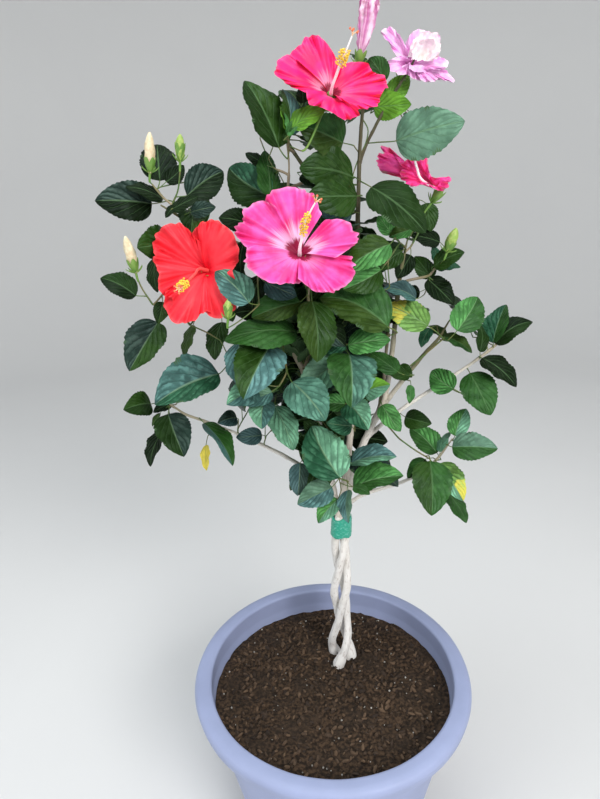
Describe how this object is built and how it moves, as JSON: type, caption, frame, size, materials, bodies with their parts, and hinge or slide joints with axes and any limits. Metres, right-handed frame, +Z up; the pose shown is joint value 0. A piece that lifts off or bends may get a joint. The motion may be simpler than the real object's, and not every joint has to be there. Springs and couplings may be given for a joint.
{
  "type": "potted hibiscus shrub",
  "caption": "Potted tropical hibiscus standard: braided trunk, open leafy crown and large red and pink blooms, standing in a wide tapered planter.",
  "frame": {"origin": "centre of the flat underside of the planter", "axes": "+Z up along the planter axis, +X to the right and +Y away from the front of the plant"},
  "size_m": [0.6744, 0.5593, 1.5357],
  "materials": {
    "pot_resin": "smooth satin resin, pale lavender grey",
    "potting_mix": "moist bark and peat mix, rough",
    "stem_bark": "pale smooth young bark with fine cracks",
    "binding_tape": "stretchy green garden tape, glossy",
    "limb_bark": "grey-brown bark, paler on old wood",
    "foliage": "glossy deep green leaves",
    "blossom": "thin satin petals"
  },
  "bodies": {
    "root": {"pot": "pot_resin", "soil": "potting_mix", "trunk_stem_1": "stem_bark", "trunk_stem_2": "stem_bark", "trunk_stem_3": "stem_bark", "binding_band": "binding_tape", "limb_right": "limb_bark", "limb_leader": "limb_bark", "limb_left": "limb_bark", "limb_right_upper": "limb_bark", "limb_right_outer": "limb_bark", "limb_right_long": "limb_bark", "limb_right_low": "limb_bark", "limb_left_low": "limb_bark", "limb_left_long": "limb_bark", "limb_upper_left": "limb_bark", "limb_top_right": "limb_bark", "limb_front_low": "limb_bark", "limb_back_low": "limb_bark", "limb_back_high": "limb_bark", "limb_back_right": "limb_bark", "foliage_centre": "foliage", "foliage_centre_low": "foliage", "foliage_lower": "foliage", "foliage_left_inner": "foliage", "foliage_left_low": "foliage", "foliage_left_bloom": "foliage", "foliage_left_tip": "foliage", "foliage_upper_left": "foliage", "foliage_top": "foliage", "foliage_top_bloom": "blossom", "foliage_top_right": "foliage", "foliage_right_upper": "foliage", "foliage_right_middle": "foliage", "foliage_right_far": "foliage", "foliage_right_low": "foliage", "foliage_back_high": "foliage", "foliage_back_low": "foliage", "foliage_back_right": "foliage", "foliage_back_base": "foliage"}
  },
  "joints": []
}
